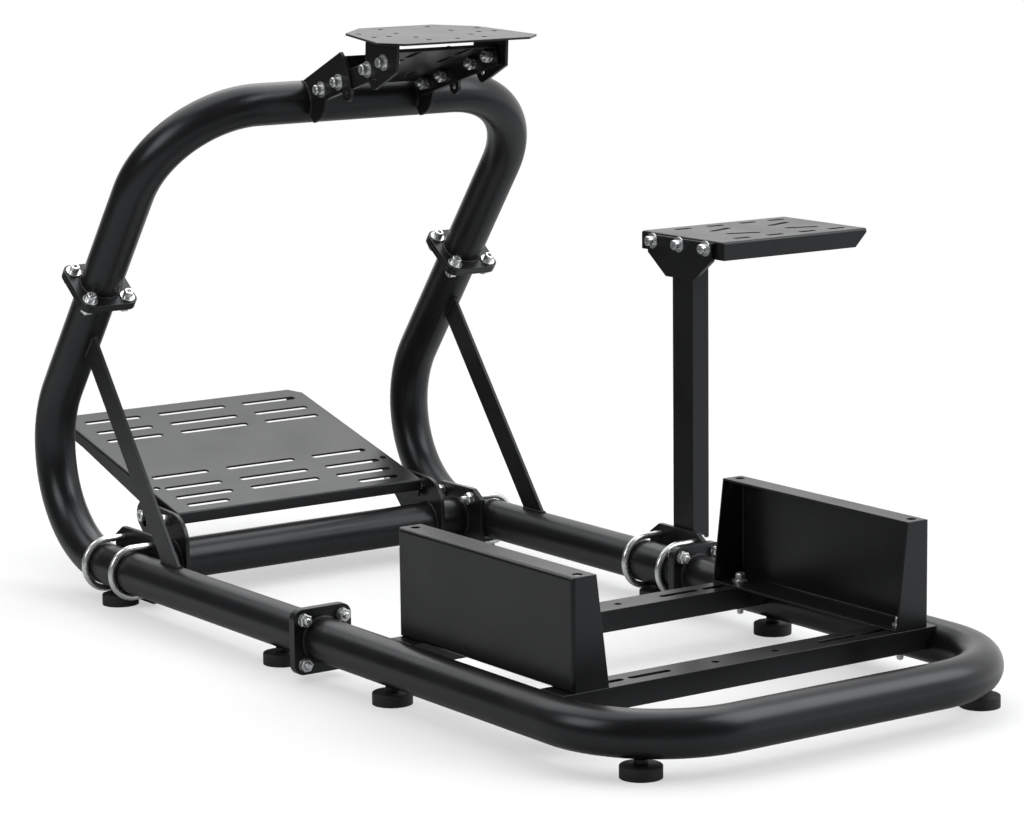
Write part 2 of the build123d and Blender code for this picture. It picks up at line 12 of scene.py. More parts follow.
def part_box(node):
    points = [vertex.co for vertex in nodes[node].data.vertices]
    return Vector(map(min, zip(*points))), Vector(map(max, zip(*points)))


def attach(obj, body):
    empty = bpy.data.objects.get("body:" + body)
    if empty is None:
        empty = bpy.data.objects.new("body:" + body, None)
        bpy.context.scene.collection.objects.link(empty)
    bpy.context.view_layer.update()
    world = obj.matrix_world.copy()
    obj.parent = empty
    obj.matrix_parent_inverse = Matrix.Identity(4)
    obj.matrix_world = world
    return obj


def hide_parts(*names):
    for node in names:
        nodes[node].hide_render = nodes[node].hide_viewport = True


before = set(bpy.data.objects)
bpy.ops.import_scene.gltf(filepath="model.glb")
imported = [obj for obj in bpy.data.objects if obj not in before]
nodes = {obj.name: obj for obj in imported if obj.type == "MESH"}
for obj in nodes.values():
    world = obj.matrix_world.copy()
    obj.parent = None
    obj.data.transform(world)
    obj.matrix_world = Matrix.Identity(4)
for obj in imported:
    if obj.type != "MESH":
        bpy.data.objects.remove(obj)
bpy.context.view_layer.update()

bl_info = {
    "name": "Racing wheel stand",
    "version": (1, 0, 0),
    "blender": (4, 5, 0),
    "location": "View3D > Sidebar > Wheel stand",
    "description": "Dresses the wheel stand with finishes, fasteners, weld beads and a stage",
    "category": "Object",
}

hands = (-1, 1)  # the two ends of an axis; across, left and right
sides = ("left", "right")
across = Vector((1, 0, 0))
up = Vector((0, 0, 1))


# Properties

def size(name, description, default):
    """A length that a user may change, in metres."""
    return FloatProperty(
        name=name, description=description, default=default, unit="LENGTH", precision=5
    )


def angle(name, description, degrees):
    """An angle that a user may change."""
    return FloatProperty(
        name=name, description=description, default=radians(degrees), subtype="ANGLE"
    )


def share(name, description, default):
    """A share from none to all."""
    return FloatProperty(
        name=name, description=description, default=default, min=0, max=1, subtype="FACTOR"
    )


def power(name, description, default):
    """A lamp's power, in watts."""
    return FloatProperty(name=name, description=description, default=default, unit="POWER")


def colour(name, description, default):
    """A linear colour that a user may change."""
    return FloatVectorProperty(
        name=name, description=description, default=default, size=3, min=0, max=1, subtype="COLOR"
    )


def point(name, description, default):
    """A point that a user may move, in metres."""
    return FloatVectorProperty(
        name=name, description=description, default=default, size=3, subtype="TRANSLATION"
    )


class StandFasteners(bpy.types.PropertyGroup):
    """Sizes of the screws, nuts and washers, and of the joints that they hold."""

    head_radius: size("Head radius", "Radius of a cap screw's head", 0.0058)
    head_height: size("Head height", "Height of a cap screw's head", 0.0080)
    head_edge: size("Head edge", "Rounding of the head's upper edge", 0.0009)
    socket_radius: size("Socket radius", "Corner radius of the hexagon socket", 0.0031)
    socket_depth: size("Socket depth", "Depth of the hexagon socket", 0.0045)
    washer_radius: size("Washer radius", "Outer radius of the washer under a screw's head", 0.0092)
    nut_washer_radius: size("Nut washer radius", "Outer radius of the washer under a nut", 0.0073)
    washer_height: size("Washer height", "Thickness of a flat washer", 0.0016)
    nut_radius: size("Nut radius", "Corner radius of a hexagon nut", 0.0078)
    nut_height: size("Nut height", "Height of a hexagon nut", 0.0066)
    nut_edge: size("Nut edge", "Chamfer on the nut's outer corners", 0.0010)
    thread_radius: size("Thread radius", "Outer radius of a thread", 0.0041)
    thread_pitch: size("Thread pitch", "Distance from one thread to the next", 0.00125)
    bore_radius: size("Bore radius", "Corner radius of the mouth round a nut's thread", 0.0051)
    bore_depth: size("Bore depth", "Depth of the mouth round a nut's thread", 0.0016)
    thread_end: size("Thread end", "Length of thread that stands out of a nut", 0.0040)
    seat_thread_end: size("Seat thread end", "Length of thread under a seat rail's nut", 0.0250)
    flange_pitch: size("Flange pitch", "Distance between a flange's bolts", 0.050)
    tube_radius: size("Tube radius", "Outer radius of the frame tube", 0.025)
    u_bolt_half_width: size("U-bolt half width", "Half the distance between a U-bolt's legs", 0.030)
    u_bolt_pitch: size("U-bolt pitch", "Distance between a clamp's two U-bolts", 0.066)
    u_bolt_tail: size("U-bolt tail", "Length of leg beyond the clamp plate", 0.016)
    gusset_pitch: size("Gusset bolt pitch", "Distance between the gusset's bolts", 0.051)
    gusset_drop: size("Gusset bolt drop", "Bolt line below the tray's top", 0.0095)
    tray_sheet: size("Tray sheet", "Thickness of the tray's sheet", 0.0025)
    rail_width: size("Rail width", "Width of a seat rail's flat leg", 0.040)
    rail_sheet: size("Rail thickness", "Thickness of a seat rail's flat leg", 0.003)
    bracket_sheet: size("Bracket sheet", "Thickness of a seat bracket's sheet", 0.002)
    mount_sheet: size("Wheel mount sheet", "Thickness of the wheel mount's plates", 0.004)
    mount_half_width: size("Wheel mount half width", "Half the width of the wheel arm", 0.073)
    arm_angle: angle("Arm angle", "Climb of the wheel arm off the crossbar", 16.0)
    arm_bolt_rise: size("Arm bolt rise", "Bolt line above the arm's middle line", 0.0035)
    pedal_sheet: size("Pedal sheet", "Thickness of the pedal plate's sheet", 0.0025)
    pivot_radius: size("Pivot radius", "Radius of the pedal plate's pivot shank", 0.0050)
    lock_radius: size("Lock radius", "Radius of the pedal plate's lock shank", 0.0040)
    pin_head_radius: size("Pin head radius", "Radius of the pedal bolts' heads and spacers", 0.0075)
    pin_head_height: size("Pin head height", "Height of the pedal bolts' heads", 0.0060)


class StandWelds(bpy.types.PropertyGroup):
    """Sizes of the weld beads under the paint."""

    bead_radius: size("Bead radius", "Half the width of a weld bead", 0.0021)
    bead_step: size("Bead step", "Distance from one ripple of a bead to the next", 0.0024)
    bead_grain: size("Bead grain", "Distance between the rings of a bead's mesh", 0.0008)
    ripple: share("Ripple", "How deep a bead's ripples are", 0.22)
    seed: IntProperty(name="Seed", description="Seed of the bead's unevenness", default=7)


class StandFinish(bpy.types.PropertyGroup):
    """Colours and gloss of the finishes."""

    coat: colour("Powder coat", "Black powder coat on the steel", (0.0075, 0.0077, 0.0083))
    coat_light: colour(
        "Powder coat mottle", "Lighter patches in the powder coat", (0.0110, 0.0112, 0.0119)
    )
    # Pale edge colour: partly a thinner coat on sharp edges, partly a painted highlight along them.
    coat_edge_and_highlight: colour("Powder coat edge", "Thinner coat on sharp edges", (0.045, 0.046, 0.048))
    dust: colour("Dust", "Fine dust on faces that look up", (0.30, 0.29, 0.28))
    dust_amount: share("Dust amount", "How much dust shows", 0.010)
    coat_gloss_low: share("Coat roughness, low", "Roughness of the smoothest coat", 0.27)
    coat_gloss_high: share("Coat roughness, high", "Roughness of the dullest coat", 0.36)
    zinc: colour("Zinc", "Bright zinc on the fasteners", (0.86, 0.865, 0.87))
    zinc_dull: colour("Dull zinc", "Duller patches of zinc", (0.70, 0.71, 0.72))
    zinc_gloss_low: share("Zinc roughness, low", "Roughness of the brightest zinc", 0.22)
    zinc_gloss_high: share("Zinc roughness, high", "Roughness of the dullest zinc", 0.35)
    rubber: colour("Rubber", "Black rubber of the feet", (0.012, 0.012, 0.013))
    rubber_grey: colour("Rubber bloom", "Greyer patches on the rubber", (0.030, 0.030, 0.031))
    rubber_gloss_low: share("Rubber roughness, low", "Roughness of the smoothest rubber", 0.62)
    rubber_gloss_high: share("Rubber roughness, high", "Roughness of the dullest rubber", 0.80)


class StandStage(bpy.types.PropertyGroup):
    """Floor, light and camera."""

    floor: colour("Floor", "Pale studio floor", (0.93, 0.93, 0.93))
    floor_bounce: share("Floor bounce", "How pale the floor's bounced light stays", 0.65)
    floor_radius: size("Floor radius", "Radius of the floor disc", 2.2)
    floor_fade: size("Floor fade", "Radius where the floor starts to melt into the backdrop", 0.7)
    floor_lift: share("Floor lift", "How much of what lies behind shows through the floor", 0.5)
    backdrop: FloatProperty(name="Backdrop", description="Level of the lit backdrop", default=1.27)
    backdrop_turn: angle("Backdrop turn", "Backdrop's turn to the right of the view", 38.0)
    studio_dark: share("Studio dark", "Level of the unlit studio", 0.08)
    top_power: power("Top softbox power", "Power of the top softbox", 68.0)
    top_size: size("Top softbox size", "Side of the top softbox", 3.4)
    top_place: point("Top softbox place", "Where the top softbox hangs", (0.1, 1.0, 2.5))
    right_power: power("Right softbox power", "Power of the right softbox", 37.0)
    right_size: size("Right softbox size", "Side of the right softbox", 1.8)
    right_place: point("Right softbox place", "Where the right softbox stands", (1.3, -1.6, 1.95))
    left_power: power("Left softbox power", "Power of the left softbox", 9.0)
    left_size: size("Left softbox size", "Side of the left softbox", 0.9)
    left_place: point("Left softbox place", "Where the left softbox stands", (-1.75, -0.1, 1.15))
    yaw: angle("Camera yaw", "Camera's turn to the right of straight ahead", 34.99)
    pitch: angle("Camera pitch", "Camera's tilt below the horizon", 9.82)
    roll: angle("Camera roll", "Camera's roll", 0.67)
    camera_place: point("Camera place", "Where the camera stands", (-2.34325, -3.27639, 0.9459))
    lens: FloatProperty(
        name="Lens", description="Focal length on a 36 mm sensor", default=122.62, unit="CAMERA"
    )


# Nodes and trees

def fill(tree, taker, inputs):
    """Fills a node's inputs with values or other nodes' sockets."""
    for key, value in inputs.items():
        if isinstance(value, bpy.types.NodeSocket):
            tree.links.new(value, taker.inputs[key])
        else:
            taker.inputs[key].default_value = value


def node(tree, kind, inputs=None, **settings):
    """Adds a node, sets its options and fills its inputs."""
    added = tree.nodes.new(kind)
    for key, value in settings.items():
        setattr(added, key, value)
    fill(tree, added, inputs or {})
    return added


def made(tree, kind, inputs=None, **settings):
    """The first output of a new node."""
    return node(tree, kind, inputs, **settings).outputs[0]


def maths(tree, operation, *values):
    """The result of one Math node."""
    return made(tree, "ShaderNodeMath", dict(enumerate(values)), operation=operation)


def mapped(tree, value, low, high, start=0.0, end=1.0, curve="LINEAR"):
    """A value between two levels, spread from a start to an end."""
    inputs = {"Value": value, "From Min": low, "From Max": high, "To Min": start, "To Max": end}
    return made(tree, "ShaderNodeMapRange", inputs, interpolation_type=curve)


def ranged(tree, value, start, end):
    """A share from 0 to 1 spread from a start to an end."""
    return mapped(tree, value, 0.0, 1.0, start, end)


def start_tree(name, lengths, others=()):
    """A Geometry Nodes tree with a named input for each size and for the finish."""
    tree = bpy.data.node_groups.new(name, "GeometryNodeTree")
    tree.interface.new_socket("Geometry", in_out="INPUT", socket_type="NodeSocketGeometry")
    for label in lengths:
        tree.interface.new_socket(label, in_out="INPUT", socket_type="NodeSocketFloat")
    for label, kind in others:
        tree.interface.new_socket(label, in_out="INPUT", socket_type=kind)
    tree.interface.new_socket("Finish", in_out="INPUT", socket_type="NodeSocketMaterial")
    tree.interface.new_socket("Geometry", in_out="OUTPUT", socket_type="NodeSocketGeometry")
    return tree, tree.nodes.new("NodeGroupInput").outputs


def end_tree(tree, geometry, finish):
    """Closes a tree: copies made real, then the finish."""
    real = made(tree, "GeometryNodeRealizeInstances", {"Geometry": geometry})
    dressed = made(tree, "GeometryNodeSetMaterial", {"Geometry": real, "Material": finish})
    node(tree, "NodeGroupOutput", {0: dressed})
    return tree


def lifted(tree, geometry, height):
    """Geometry moved up its own axis."""
    place = made(tree, "ShaderNodeCombineXYZ", {"Z": height})
    return made(tree, "GeometryNodeTransform", {"Geometry": geometry, "Translation": place})


def joined(tree, *parts):
    """Several geometries as one."""
    join = tree.nodes.new("GeometryNodeJoinGeometry")
    for part in reversed(parts):
        tree.links.new(part, join.inputs[0])
    return join.outputs[0]


def merged(tree, geometry):
    """Geometry with doubled points made one, so that its shell is closed."""
    return made(tree, "GeometryNodeMergeByDistance", {"Geometry": geometry, "Distance": 1e-6})


def raised(tree, mesh, height, selection):
    """One face pushed out by a height: the mesh, and the face's new place."""
    inputs = {"Mesh": mesh, "Selection": selection, "Offset Scale": height}
    step = node(tree, "GeometryNodeExtrudeMesh", inputs, mode="FACES")
    return step.outputs["Mesh"], step.outputs["Top"]


def inset(tree, mesh, top, ratio):
    """The top face scaled about its own middle."""
    inputs = {"Geometry": mesh, "Selection": top, "Scale": ratio}
    return made(tree, "GeometryNodeScaleElements", inputs, domain="FACE")


def point_spots(tree):
    """The X, Y and Z of a mesh's points."""
    spots = made(tree, "GeometryNodeInputPosition")
    return node(tree, "ShaderNodeSeparateXYZ", {0: spots}).outputs


def drawn_in(tree, mesh, spot, ratio, selection=True):
    """A mesh with its points drawn towards its axis by a ratio."""
    place = made(tree, "ShaderNodeCombineXYZ", {
        "X": maths(tree, "MULTIPLY", spot["X"], ratio),
        "Y": maths(tree, "MULTIPLY", spot["Y"], ratio),
        "Z": spot["Z"],
    })
    inputs = {"Geometry": mesh, "Selection": selection, "Position": place}
    return made(tree, "GeometryNodeSetPosition", inputs)


def hexagonal(tree, mesh, top):
    """The round top face drawn in to a hexagon with the same corner radius."""
    sixth = tau / 6
    spot = point_spots(tree)
    bearing = maths(tree, "ARCTAN2", spot["Y"], spot["X"])
    off_corner = maths(tree, "FLOORED_MODULO", bearing, sixth)
    off_middle = maths(tree, "SUBTRACT", off_corner, sixth / 2)
    pull = maths(tree, "DIVIDE", cos(sixth / 2), maths(tree, "COSINE", off_middle))
    return drawn_in(tree, mesh, spot, pull, top)


def turned(tree, corners, radius, steps):
    """A closed shape on a disc: each step raises its top face, then scales and forms that face."""
    circle = {"Vertices": corners, "Radius": radius}
    disc = made(tree, "GeometryNodeMeshCircle", circle, fill_type="NGON")
    mesh, top = disc, True
    for rise, reach, *forms in steps:
        mesh, top = raised(tree, mesh, rise, top)
        if reach is not None:
            mesh = inset(tree, mesh, top, maths(tree, "DIVIDE", reach, radius))
            radius = reach
        for form in forms:
            mesh = form(tree, mesh, top)
    base = made(tree, "GeometryNodeFlipFaces", {"Mesh": disc})
    return merged(tree, joined(tree, mesh, base))


def recessed(tree, corners, radius, height, edge, mouth, depth, *forms):
    """A head or a nut: straight wall, bevelled edge, and a mouth sunk in its top."""
    return turned(tree, corners, radius, (
        (maths(tree, "SUBTRACT", height, edge), None),
        (edge, maths(tree, "SUBTRACT", radius, edge)),
        (0.0, mouth, *forms),
        (maths(tree, "MULTIPLY", depth, -1.0), None),
    ))


def copies_on_axes(tree, places, shape, seed):
    """A copy of the shape at each place, along the place's own axis, turned by a seeded angle."""
    along = node(
        tree, "GeometryNodeInputNamedAttribute", {"Name": "axis"}, data_type="FLOAT_VECTOR"
    ).outputs["Attribute"]
    aim = made(tree, "FunctionNodeAlignRotationToVector", {"Vector": along}, axis="Z")
    chance = node(
        tree, "FunctionNodeRandomValue", {2: 0.0, 3: tau, "Seed": seed}, data_type="FLOAT"
    ).outputs[1]
    turn = made(tree, "FunctionNodeAxisAngleToRotation", {"Axis": up, "Angle": chance})
    both = {"Rotation": aim, "Rotate By": turn}
    spun = made(tree, "FunctionNodeRotateRotation", both, rotation_space="LOCAL")
    inputs = {"Points": places, "Instance": shape, "Rotation": spun}
    return made(tree, "GeometryNodeInstanceOnPoints", inputs)


# Trees of the fasteners and welds, their inputs, and the fineness of their meshes

screw_inputs = (
    "Head radius", "Head height", "Head edge", "Socket radius", "Socket depth",
    "Washer radius", "Washer height",
)
nut_inputs = (
    "Nut radius", "Nut height", "Nut edge", "Bore radius", "Bore depth",
    "Washer radius", "Washer height", "Thread radius", "Thread pitch", "Thread end",
)
collar_inputs = ("Collar radius", "Collar length", "Collar edge")
bead_inputs = ("Bead radius", "Bead step", "Bead grain", "Ripple")
round_corners = 24
washer_corners = 28
nut_corners = 6
thread_corners = 12
thread_rings = 40
bead_corners = 8
sharp_angle = radians(32)


def washer_disc(tree, given):
    """A flat washer that lies on the joint's face."""
    height = given["Washer height"]
    inputs = {"Vertices": washer_corners, "Radius": given["Washer radius"], "Depth": height}
    disc = node(tree, "GeometryNodeMeshCylinder", inputs).outputs["Mesh"]
    return lifted(tree, disc, maths(tree, "MULTIPLY", height, 0.5))


def cap_screw_tree():
    """A socket cap screw on a washer: round head, rounded edge, hexagon socket."""
    tree, given = start_tree("cap screw", screw_inputs)
    head = recessed(
        tree, round_corners, given["Head radius"], given["Head height"], given["Head edge"],
        given["Socket radius"], given["Socket depth"], hexagonal,
    )
    screw = joined(tree, lifted(tree, head, given["Washer height"]), washer_disc(tree, given))
    copies = copies_on_axes(tree, given["Geometry"], screw, seed=11)
    return end_tree(tree, copies, given["Finish"])


def threaded_rod(tree, given, reach, end):
    """A threaded rod with a tapered tip, about its own middle."""
    tip_ratio = 0.7
    groove_depth = 0.14
    rod = node(tree, "GeometryNodeMeshCylinder", {
        "Vertices": thread_corners, "Side Segments": thread_rings,
        "Radius": given["Thread radius"], "Depth": reach,
    }).outputs["Mesh"]
    spot = point_spots(tree)
    half_pitch = maths(tree, "MULTIPLY", given["Thread pitch"], 0.5)
    groove = maths(tree, "DIVIDE", maths(tree, "PINGPONG", spot["Z"], half_pitch), half_pitch)
    left = maths(tree, "SUBTRACT", 1.0, maths(tree, "MULTIPLY", groove, groove_depth))
    tip_start = maths(tree, "SUBTRACT", end, given["Thread pitch"])
    tip = mapped(tree, spot["Z"], tip_start, end, 1.0, tip_ratio)
    return drawn_in(tree, rod, spot, maths(tree, "MULTIPLY", tip, left))


def nut_tree():
    """A hexagon nut on a washer, with the threaded end of its bolt standing out."""
    tree, given = start_tree("nut end", nut_inputs)
    nut = recessed(
        tree, nut_corners, given["Nut radius"], given["Nut height"], given["Nut edge"],
        given["Bore radius"], given["Bore depth"],
    )
    reach = maths(tree, "ADD", given["Nut height"], given["Thread end"])
    end = maths(tree, "MULTIPLY", reach, 0.5)
    thread = threaded_rod(tree, given, reach, end)
    fastener = joined(
        tree,
        lifted(tree, nut, given["Washer height"]),
        washer_disc(tree, given),
        lifted(tree, thread, maths(tree, "ADD", given["Washer height"], end)),
    )
    copies = copies_on_axes(tree, given["Geometry"], fastener, seed=23)
    return end_tree(tree, copies, given["Finish"])


def collar_tree():
    """Plain turned collars: discs with a chamfer at both ends, along each place's axis."""
    tree, given = start_tree("turned collar", collar_inputs)
    radius, length, edge = (given[label] for label in collar_inputs)
    inner = maths(tree, "SUBTRACT", radius, edge)
    wall = maths(tree, "SUBTRACT", length, maths(tree, "MULTIPLY", edge, 2.0))
    collar = turned(tree, round_corners, inner, ((edge, radius), (wall, None), (edge, inner)))
    copies = copies_on_axes(tree, given["Geometry"], collar, seed=31)
    return end_tree(tree, copies, given["Finish"])


def weld_tree():
    """A rippled bead along each seam."""
    swells_per_metre = 90.0
    least_swell = 0.82
    swell_range = 0.36
    tree, given = start_tree("weld bead", bead_inputs, (("Seed", "NodeSocketInt"),))
    seams = made(tree, "GeometryNodeMeshToCurve", {"Mesh": given["Geometry"]})
    spaced = {"Curve": seams, "Length": given["Bead grain"]}
    rings = made(tree, "GeometryNodeResampleCurve", spaced, mode="LENGTH")
    run = node(tree, "GeometryNodeSplineParameter").outputs["Length"]
    step = maths(tree, "FRACT", maths(tree, "DIVIDE", run, given["Bead step"]))
    dip = maths(tree, "MULTIPLY", maths(tree, "MULTIPLY", step, step), given["Ripple"])
    along = maths(tree, "ADD", given["Seed"], maths(tree, "MULTIPLY", run, swells_per_metre))
    uneven = made(tree, "ShaderNodeTexNoise", {"W": along, "Scale": 1.0}, noise_dimensions="1D")
    swell = maths(tree, "ADD", least_swell, maths(tree, "MULTIPLY", uneven, swell_range))
    round_bead = {"Resolution": bead_corners, "Radius": given["Bead radius"]}
    bead = made(tree, "GeometryNodeCurveToMesh", {
        "Curve": rings,
        "Profile Curve": made(tree, "GeometryNodeCurvePrimitiveCircle", round_bead),
        "Scale": maths(tree, "SUBTRACT", swell, dip),
        "Fill Caps": True,
    })
    return end_tree(tree, bead, given["Finish"])


def sizes_from(values, labels):
    """A tree's inputs, each from the property of the same name."""
    return {label: getattr(values, label.lower().replace(" ", "_")) for label in labels}


def grown(name, tree, mesh, sizes, finish):
    """The tree's result on a carrier mesh, as one plain mesh at the origin."""
    piece = bpy.data.objects.new(name, mesh)
    bpy.context.scene.collection.objects.link(piece)
    modifier = piece.modifiers.new("tree", "NODES")
    modifier.node_group = tree
    values = dict(sizes, Finish=finish)
    for item in tree.interface.items_tree:
        if item.in_out == "INPUT" and item.name in values:
            modifier[item.identifier] = values[item.name]
    bpy.context.view_layer.update()
    evaluated = piece.evaluated_get(bpy.context.evaluated_depsgraph_get())
    plain = bpy.data.meshes.new_from_object(evaluated)
    piece.modifiers.remove(modifier)
    piece.data = plain
    plain.name = name
    if not plain.polygons:
        raise RuntimeError(f"{name} came out empty")
    plain.shade_smooth()
    plain.set_sharp_from_angle(angle=sharp_angle)
    return piece


def fasteners(name, tree, places, sizes, body):
    """Fasteners of one kind, one at each (point, axis)."""
    carrier = bpy.data.meshes.new(name + "_places")
    carrier.from_pydata([spot for spot, _ in places], [], [])
    axes = carrier.attributes.new("axis", "FLOAT_VECTOR", "POINT")
    for item, (_, axis) in zip(axes.data, places):
        item.vector = axis
    piece = grown(name, tree, carrier, sizes, bpy.data.materials["zinc_plate_finish"])
    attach(piece, body)
    return piece


# Finishes

def shader_group(name, inputs, outputs):
    """A shader node group with named inputs and outputs."""
    group = bpy.data.node_groups.new(name, "ShaderNodeTree")
    for label, kind, default in inputs:
        socket = group.interface.new_socket(label, in_out="INPUT", socket_type=kind)
        if default is not None:
            socket.default_value = default
    for label, kind in outputs:
        group.interface.new_socket(label, in_out="OUTPUT", socket_type=kind)
    return group, group.nodes.new("NodeGroupInput").outputs


def noise(tree, spot, scale, detail):
    """Noise over a surface, from 0 to 1."""
    inputs = {"Vector": spot, "Scale": scale, "Detail": detail}
    return made(tree, "ShaderNodeTexNoise", inputs)


def face_normal(tree):
    """The surface's own normal, before its edges are softened."""
    return node(tree, "ShaderNodeNewGeometry").outputs["Normal"]


def grain_group():
    """Fine skin and broad mottle of a coated, plated or moulded surface."""
    group, given = shader_group(
        "surface grain",
        (
            ("Vector", "NodeSocketVector", None),
            ("Skin scale", "NodeSocketFloat", 900.0),
            ("Mottle scale", "NodeSocketFloat", 14.0),
        ),
        (("Height", "NodeSocketFloat"), ("Mottle", "NodeSocketFloat")),
    )
    cloud = noise(group, given["Vector"], given["Mottle scale"], detail=5.0)
    node(group, "NodeGroupOutput", {
        "Height": noise(group, given["Vector"], given["Skin scale"], detail=3.0),
        "Mottle": mapped(group, cloud, low=0.3, high=0.7),
    })


def edge_group():
    """Soft corners, and a mask of the sharp edges, where a coat is thin and an edge highlight is
    painted.
    """
    group, given = shader_group(
        "soft edge",
        (("Radius", "NodeSocketFloat", 0.001), ("Reach", "NodeSocketFloat", 0.25)),
        (("Mask", "NodeSocketFloat"), ("Normal", "NodeSocketVector")),
    )
    rounded = made(group, "ShaderNodeBevel", {"Radius": given["Radius"]}, samples=6)
    both = {0: rounded, 1: face_normal(group)}
    agree = node(group, "ShaderNodeVectorMath", both, operation="DOT_PRODUCT").outputs["Value"]
    mask = mapped(group, maths(group, "SUBTRACT", 1.0, agree), 0.0, given["Reach"])
    node(group, "NodeGroupOutput", {"Mask": mask, "Normal": rounded})


def dust_group():
    """A mask of the dust that settles on faces that look up."""
    group, given = shader_group(
        "settled dust",
        (("Vector", "NodeSocketVector", None), ("Amount", "NodeSocketFloat", 0.05)),
        (("Mask", "NodeSocketFloat"),),
    )
    facing = node(group, "ShaderNodeSeparateXYZ", {0: face_normal(group)}).outputs["Z"]
    level = mapped(group, facing, low=0.4, high=1.0)
    specks = noise(group, given["Vector"], scale=60.0, detail=8.0)
    patchy = mapped(group, specks, low=0.35, high=0.75)
    shown = maths(group, "MULTIPLY", maths(group, "MULTIPLY", level, patchy), given["Amount"])
    node(group, "NodeGroupOutput", {"Mask": shown})


def placed_group(tree, name, inputs):
    """A shader group placed in a material, with its own values."""
    return node(tree, "ShaderNodeGroup", inputs, node_tree=bpy.data.node_groups[name]).outputs


def blended(tree, factor, first, second):
    """A colour between two others."""
    mix = node(tree, "ShaderNodeMix", {0: factor}, data_type="RGBA")
    for index, value in ((6, first), (7, second)):
        is_socket = isinstance(value, bpy.types.NodeSocket)
        fill(tree, mix, {index: value if is_socket else (*value, 1.0)})
    return mix.outputs[2]


def start_material(name):
    """A new node material: itself, its tree, its shader and its Object coordinates."""
    material = bpy.data.materials.new(name)
    material.use_nodes = True
    tree = material.node_tree
    spot = node(tree, "ShaderNodeTexCoord").outputs["Object"]
    return material, tree, tree.nodes["Principled BSDF"], spot


def grained(tree, shader, spot, gloss, skin_scale, mottle_scale, edge_radius, relief, relief_depth):
    """Gives a shader mottled gloss, a fine skin and soft edges: the mottle and the edges' mask."""
    skin = placed_group(tree, "surface grain", {
        "Vector": spot, "Skin scale": skin_scale, "Mottle scale": mottle_scale,
    })
    edge = placed_group(tree, "soft edge", {"Radius": edge_radius, "Reach": 0.30})
    bump = made(tree, "ShaderNodeBump", {
        "Strength": relief, "Distance": relief_depth,
        "Height": skin["Height"], "Normal": edge["Normal"],
    })
    fill(tree, shader, {"Roughness": ranged(tree, skin["Mottle"], *gloss), "Normal": bump})
    return skin["Mottle"], edge["Mask"]


def powder_coat(finish):
    """Satin black powder coat: fine orange-peel skin, thin pale edges with a painted highlight, a
    breath of dust.
    """
    material, tree, shader, spot = start_material("black_powder_coat_finish")
    mottle, edges = grained(
        tree, shader, spot, (finish.coat_gloss_low, finish.coat_gloss_high), skin_scale=650.0,
        mottle_scale=14.0, edge_radius=0.0011, relief=0.06, relief_depth=0.0003,
    )
    dust = placed_group(tree, "settled dust", {"Vector": spot, "Amount": finish.dust_amount})
    body = blended(tree, mottle, finish.coat, finish.coat_light)
    # Sharp edges get a paler colour: partly a thinner coat, partly a painted highlight.
    worn_and_edge_highlight = blended(tree, edges, body, finish.coat_edge_and_highlight)
    fill(tree, shader, {
        "Base Color": blended(tree, dust["Mask"], worn_and_edge_highlight, finish.dust),
        "Specular IOR Level": 0.4,
        "Specular Tint": (0.94, 0.97, 1.0, 1.0),
    })
    return material


def bright_zinc(finish):
    """Bright zinc plate: metal with a faint cloud and fine tool marks."""
    material, tree, shader, spot = start_material("zinc_plate_finish")
    mottle, _ = grained(
        tree, shader, spot, (finish.zinc_gloss_low, finish.zinc_gloss_high), skin_scale=1400.0,
        mottle_scale=90.0, edge_radius=0.0006, relief=0.04, relief_depth=0.0002,
    )
    colours = blended(tree, mottle, finish.zinc, finish.zinc_dull)
    fill(tree, shader, {"Base Color": colours, "Metallic": 0.88})
    return material


def black_rubber(finish):
    """Moulded black rubber: dull, with a grey bloom and a fine grain."""
    material, tree, shader, spot = start_material("black_rubber_finish")
    mottle, _ = grained(
        tree, shader, spot, (finish.rubber_gloss_low, finish.rubber_gloss_high), skin_scale=1100.0,
        mottle_scale=40.0, edge_radius=0.0008, relief=0.30, relief_depth=0.0003,
    )
    fill(tree, shader, {"Base Color": blended(tree, mottle, finish.rubber, finish.rubber_grey)})
    return material


class WHEELSTAND_OT_finishes(bpy.types.Operator):
    """Makes the finishes and dresses every solid in its own"""

    bl_idname = "wheelstand.finishes"
    bl_label = "Finishes"

    def execute(self, context):
        finish = context.scene.stand_finish
        grain_group()
        edge_group()
        dust_group()
        finishes = {
            "black_powder_coat": powder_coat(finish),
            "zinc_plate": bright_zinc(finish),
            "black_rubber": black_rubber(finish),
        }
        for name, piece in nodes.items():
            slot = "black_powder_coat"
            if "bolts" in name:
                slot = "zinc_plate"
            elif name == "levelling_feet":
                slot = "black_rubber"
            for place in piece.material_slots:
                place.material = finishes[slot]
        return {"FINISHED"}


# Places of the joints, read from the solids

flange_pairs = (
    ("floor_flanges_rear", "floor_flanges_front"),
    ("upright_flanges_lower", "upright_flanges_upper"),
)
arm_bolt_stations = (0.050, 0.090, 0.155, 0.191)


def middle_of(name):
    """The middle of a solid's box."""
    low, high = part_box(name)
    return (low + high) / 2


def flange_faces():
    """Each flange's outer face: its middle, the joint's axis, and its way along that axis."""
    floor_low, floor_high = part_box("floor_flanges_rear")
    flange_side = floor_high.z - floor_low.z
    for pair in flange_pairs:
        first, second = (middle_of(name) for name in pair)
        axis = (second - first).normalized()
        lift = (second - first) / 2
        for name, way in zip(pair, hands):
            low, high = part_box(name)
            reach = across * (high.x - low.x - flange_side) / 2
            for hand in hands:
                yield middle_of(name) + reach * hand + lift * way, axis, way


def on_both_sides(centre, offset, way=1):
    """A place on each side of a centre, looking outwards, or inwards where the way is -1."""
    return [(centre + across * hand * offset, across * hand * way) for hand in hands]


